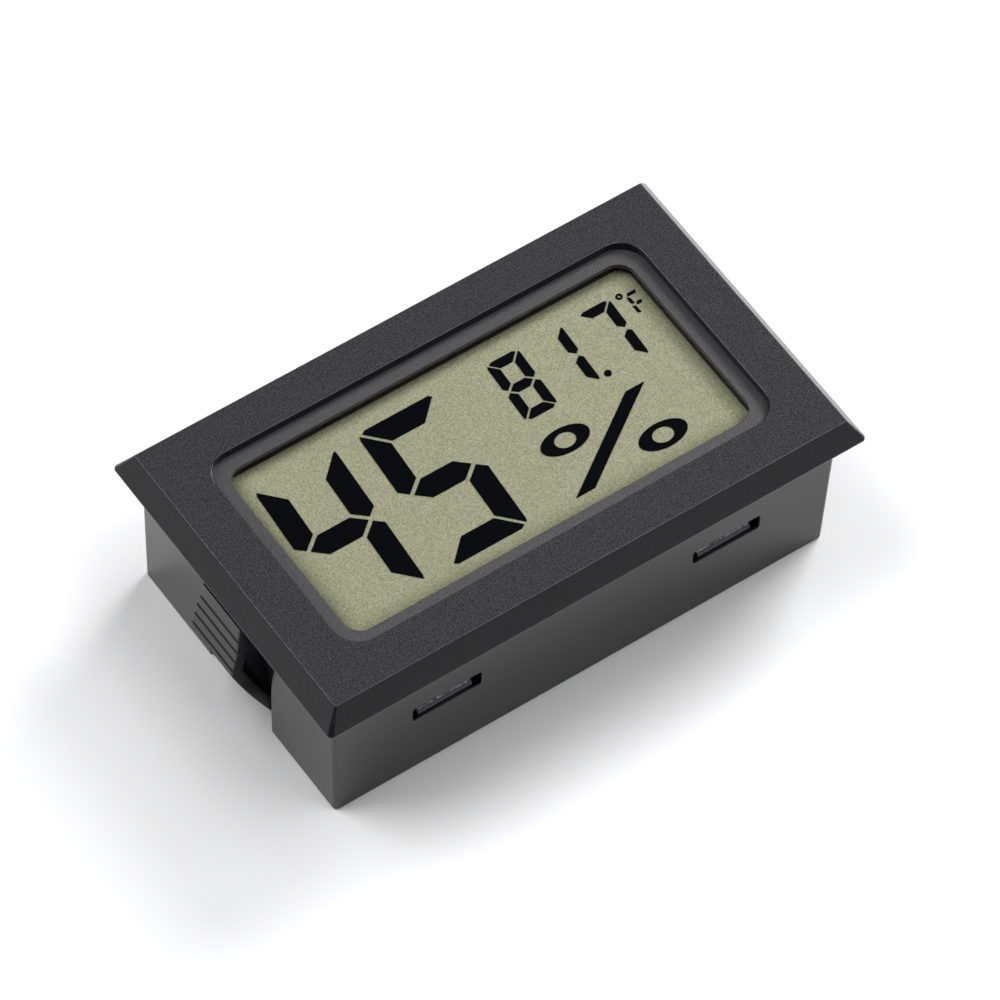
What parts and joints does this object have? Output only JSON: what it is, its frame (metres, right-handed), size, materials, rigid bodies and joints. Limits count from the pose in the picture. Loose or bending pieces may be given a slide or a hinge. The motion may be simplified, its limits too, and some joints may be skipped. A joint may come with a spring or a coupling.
{
  "type": "panel thermo-hygrometer",
  "caption": "Small rectangular panel meter with a chamfered flange, a stepped window over a humidity and temperature display, and sprung clips at both ends.",
  "frame": {"origin": "centre of the back face, which the meter rests on", "axes": "+X along the display in reading order, +Y up the display, +Z out of the display"},
  "size_m": [0.0494, 0.0286, 0.0152],
  "materials": {
    "housing_abs": "fine spark texture on the front, satin sides",
    "cover_abs": "satin moulded",
    "polarizer_film": "fine anti-glare film",
    "display_glass": "clear",
    "seal_epoxy": "cured glue line",
    "lit_segment": "dark display segment",
    "reflector_film": "greenish sparkle film",
    "silicone_rubber": "layered silicone",
    "foam": "closed-cell foam",
    "board_laminate": "green solder mask",
    "screw_steel": "zinc plated",
    "potting_epoxy": "glossy cured drop",
    "chip_ceramic": "fired ceramic",
    "resistor_body": "coated ceramic",
    "sensor_ceramic": "coated ceramic plate",
    "bead_glass": "glass bead",
    "contact_steel": "nickel plated",
    "cell_steel": "nickel-plated can"
  },
  "bodies": {
    "housing": {"front_housing": "housing_abs", "rear_cover": "cover_abs", "lcd_front_polarizer": "polarizer_film", "lcd_front_glass": "display_glass", "lcd_rear_glass": "display_glass", "lcd_edge_seal": "seal_epoxy", "lcd_humidity_digits": "lit_segment", "lcd_temperature_digits": "lit_segment", "lcd_percent_sign": "lit_segment", "lcd_unit_mark": "lit_segment", "lcd_reflector": "reflector_film", "zebra_strip": "silicone_rubber", "lcd_foam_pad": "foam", "circuit_board": "board_laminate", "board_screws": "screw_steel", "chip_blob": "potting_epoxy", "chip_capacitors": "chip_ceramic", "chip_resistors": "resistor_body", "humidity_sensor": "sensor_ceramic", "temperature_sensor": "bead_glass", "battery_contact_positive": "contact_steel", "battery_contact_negative": "contact_steel", "battery_cell_a": "cell_steel", "battery_cell_b": "cell_steel"},
    "door": {"battery_door": "cover_abs", "battery_link_strip": "contact_steel"}
  },
  "joints": [
    {"name": "battery_door_slide", "type": "slide", "parent": "housing", "child": "door", "axis": [1, 0, 0], "range_m": [0, 0.003]}
  ]
}
